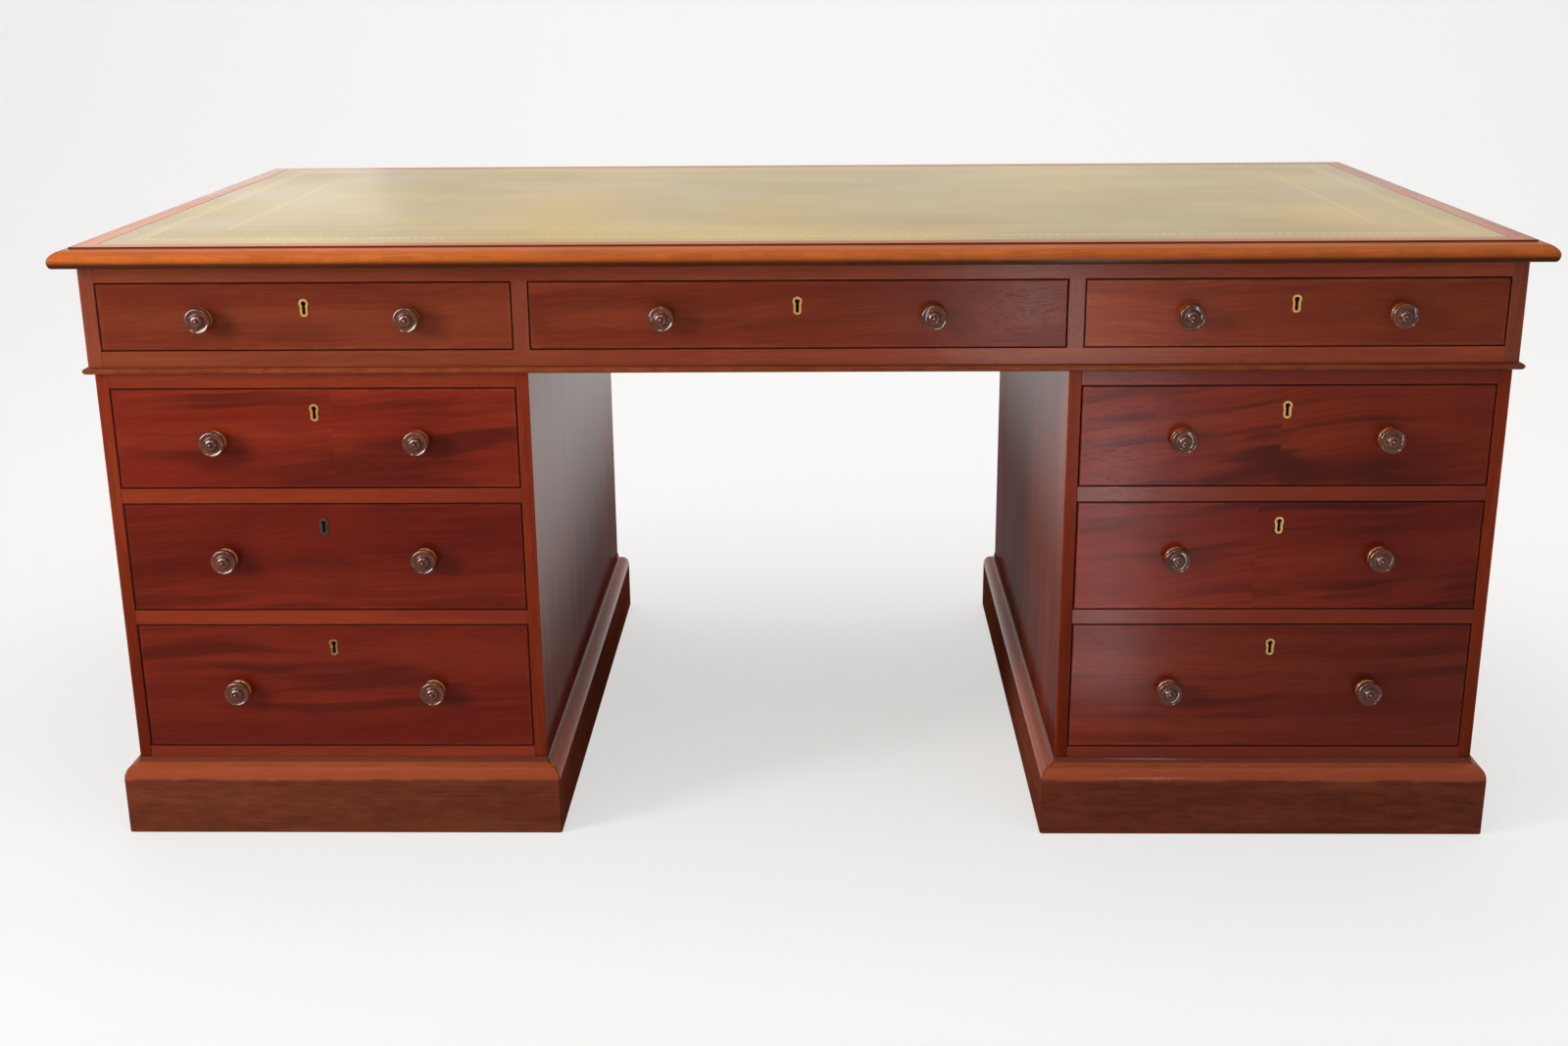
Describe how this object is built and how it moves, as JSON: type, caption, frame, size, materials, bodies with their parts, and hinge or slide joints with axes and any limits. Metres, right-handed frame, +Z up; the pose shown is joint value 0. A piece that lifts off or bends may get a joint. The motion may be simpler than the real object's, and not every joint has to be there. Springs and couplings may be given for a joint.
{
  "type": "pedestal desk",
  "caption": "Mahogany pedestal desk with a moulded top, an inset leather writing surface, lockable drawers with turned knobs in the frieze and pedestals, and moulded plinths.",
  "frame": {"origin": "on the floor, under the middle of the top", "axes": "+X to the right of a person sitting at the desk, +Y to the back, +Z up; the drawers open towards -Y"},
  "size_m": [1.83, 0.94, 0.7862],
  "materials": {
    "mahogany": "French polished, semi-gloss",
    "mahogany_figured": "French polished, figured veneer",
    "mahogany_dark": "turned and polished",
    "lining_oak": "bare, planed",
    "carcase_pine": "bare, planed",
    "leather": "waxed, with gold tooling",
    "brass": "aged, lightly tarnished",
    "bolt_steel": "filed and oiled"
  },
  "bodies": {
    "carcase": {"top_panel": "carcase_pine", "top_edge_moulding": "mahogany", "writing_leather": "leather", "frieze_case": "mahogany", "frieze_rails": "mahogany", "frieze_bead": "mahogany", "pedestal_left_case": "mahogany", "pedestal_right_case": "mahogany", "pedestal_rails": "mahogany", "pedestal_left_plinth": "mahogany", "pedestal_right_plinth": "mahogany", "pedestal_boards": "carcase_pine", "drawer_runners": "carcase_pine", "drawer_stops": "carcase_pine", "locating_dowels": "lining_oak"},
    "frieze_left_drawer": {"frieze_left_drawer_front": "mahogany_figured", "frieze_left_drawer_box": "lining_oak", "frieze_left_drawer_knobs": "mahogany_dark", "frieze_left_drawer_lock": "brass"},
    "frieze_left_drawer_bolt": {"frieze_left_drawer_bolt": "bolt_steel"},
    "frieze_centre_drawer": {"frieze_centre_drawer_front": "mahogany_figured", "frieze_centre_drawer_box": "lining_oak", "frieze_centre_drawer_knobs": "mahogany_dark", "frieze_centre_drawer_lock": "brass"},
    "frieze_centre_drawer_bolt": {"frieze_centre_drawer_bolt": "bolt_steel"},
    "frieze_right_drawer": {"frieze_right_drawer_front": "mahogany_figured", "frieze_right_drawer_box": "lining_oak", "frieze_right_drawer_knobs": "mahogany_dark", "frieze_right_drawer_lock": "brass"},
    "frieze_right_drawer_bolt": {"frieze_right_drawer_bolt": "bolt_steel"},
    "left_upper_drawer": {"left_upper_drawer_front": "mahogany_figured", "left_upper_drawer_box": "lining_oak", "left_upper_drawer_knobs": "mahogany_dark", "left_upper_drawer_lock": "brass"},
    "left_upper_drawer_bolt": {"left_upper_drawer_bolt": "bolt_steel"},
    "right_upper_drawer": {"right_upper_drawer_front": "mahogany_figured", "right_upper_drawer_box": "lining_oak", "right_upper_drawer_knobs": "mahogany_dark", "right_upper_drawer_lock": "brass"},
    "right_upper_drawer_bolt": {"right_upper_drawer_bolt": "bolt_steel"},
    "left_middle_drawer": {"left_middle_drawer_front": "mahogany_figured", "left_middle_drawer_box": "lining_oak", "left_middle_drawer_knobs": "mahogany_dark", "left_middle_drawer_lock": "brass"},
    "left_middle_drawer_bolt": {"left_middle_drawer_bolt": "bolt_steel"},
    "right_middle_drawer": {"right_middle_drawer_front": "mahogany_figured", "right_middle_drawer_box": "lining_oak", "right_middle_drawer_knobs": "mahogany_dark", "right_middle_drawer_lock": "brass"},
    "right_middle_drawer_bolt": {"right_middle_drawer_bolt": "bolt_steel"},
    "left_lower_drawer": {"left_lower_drawer_front": "mahogany_figured", "left_lower_drawer_box": "lining_oak", "left_lower_drawer_knobs": "mahogany_dark", "left_lower_drawer_lock": "brass"},
    "left_lower_drawer_bolt": {"left_lower_drawer_bolt": "bolt_steel"},
    "right_lower_drawer": {"right_lower_drawer_front": "mahogany_figured", "right_lower_drawer_box": "lining_oak", "right_lower_drawer_knobs": "mahogany_dark", "right_lower_drawer_lock": "brass"},
    "right_lower_drawer_bolt": {"right_lower_drawer_bolt": "bolt_steel"}
  },
  "joints": [
    {"name": "frieze_left_drawer_slide", "type": "slide", "parent": "carcase", "child": "frieze_left_drawer", "axis": [0, -1, 0], "range_m": [0, 0.48]},
    {"name": "frieze_left_drawer_bolt_throw", "type": "slide", "parent": "frieze_left_drawer", "child": "frieze_left_drawer_bolt", "axis": [0, 0, 1], "range_m": [0, 0.009]},
    {"name": "frieze_centre_drawer_slide", "type": "slide", "parent": "carcase", "child": "frieze_centre_drawer", "axis": [0, -1, 0], "range_m": [0, 0.48]},
    {"name": "frieze_centre_drawer_bolt_throw", "type": "slide", "parent": "frieze_centre_drawer", "child": "frieze_centre_drawer_bolt", "axis": [0, 0, 1], "range_m": [0, 0.009]},
    {"name": "frieze_right_drawer_slide", "type": "slide", "parent": "carcase", "child": "frieze_right_drawer", "axis": [0, -1, 0], "range_m": [0, 0.48]},
    {"name": "frieze_right_drawer_bolt_throw", "type": "slide", "parent": "frieze_right_drawer", "child": "frieze_right_drawer_bolt", "axis": [0, 0, 1], "range_m": [0, 0.009]},
    {"name": "left_upper_drawer_slide", "type": "slide", "parent": "carcase", "child": "left_upper_drawer", "axis": [0, -1, 0], "range_m": [0, 0.48]},
    {"name": "left_upper_drawer_bolt_throw", "type": "slide", "parent": "left_upper_drawer", "child": "left_upper_drawer_bolt", "axis": [0, 0, 1], "range_m": [0, 0.009]},
    {"name": "right_upper_drawer_slide", "type": "slide", "parent": "carcase", "child": "right_upper_drawer", "axis": [0, -1, 0], "range_m": [0, 0.48]},
    {"name": "right_upper_drawer_bolt_throw", "type": "slide", "parent": "right_upper_drawer", "child": "right_upper_drawer_bolt", "axis": [0, 0, 1], "range_m": [0, 0.009]},
    {"name": "left_middle_drawer_slide", "type": "slide", "parent": "carcase", "child": "left_middle_drawer", "axis": [0, -1, 0], "range_m": [0, 0.48]},
    {"name": "left_middle_drawer_bolt_throw", "type": "slide", "parent": "left_middle_drawer", "child": "left_middle_drawer_bolt", "axis": [0, 0, 1], "range_m": [0, 0.009]},
    {"name": "right_middle_drawer_slide", "type": "slide", "parent": "carcase", "child": "right_middle_drawer", "axis": [0, -1, 0], "range_m": [0, 0.48]},
    {"name": "right_middle_drawer_bolt_throw", "type": "slide", "parent": "right_middle_drawer", "child": "right_middle_drawer_bolt", "axis": [0, 0, 1], "range_m": [0, 0.009]},
    {"name": "left_lower_drawer_slide", "type": "slide", "parent": "carcase", "child": "left_lower_drawer", "axis": [0, -1, 0], "range_m": [0, 0.48]},
    {"name": "left_lower_drawer_bolt_throw", "type": "slide", "parent": "left_lower_drawer", "child": "left_lower_drawer_bolt", "axis": [0, 0, 1], "range_m": [0, 0.009]},
    {"name": "right_lower_drawer_slide", "type": "slide", "parent": "carcase", "child": "right_lower_drawer", "axis": [0, -1, 0], "range_m": [0, 0.48]},
    {"name": "right_lower_drawer_bolt_throw", "type": "slide", "parent": "right_lower_drawer", "child": "right_lower_drawer_bolt", "axis": [0, 0, 1], "range_m": [0, 0.009]}
  ]
}
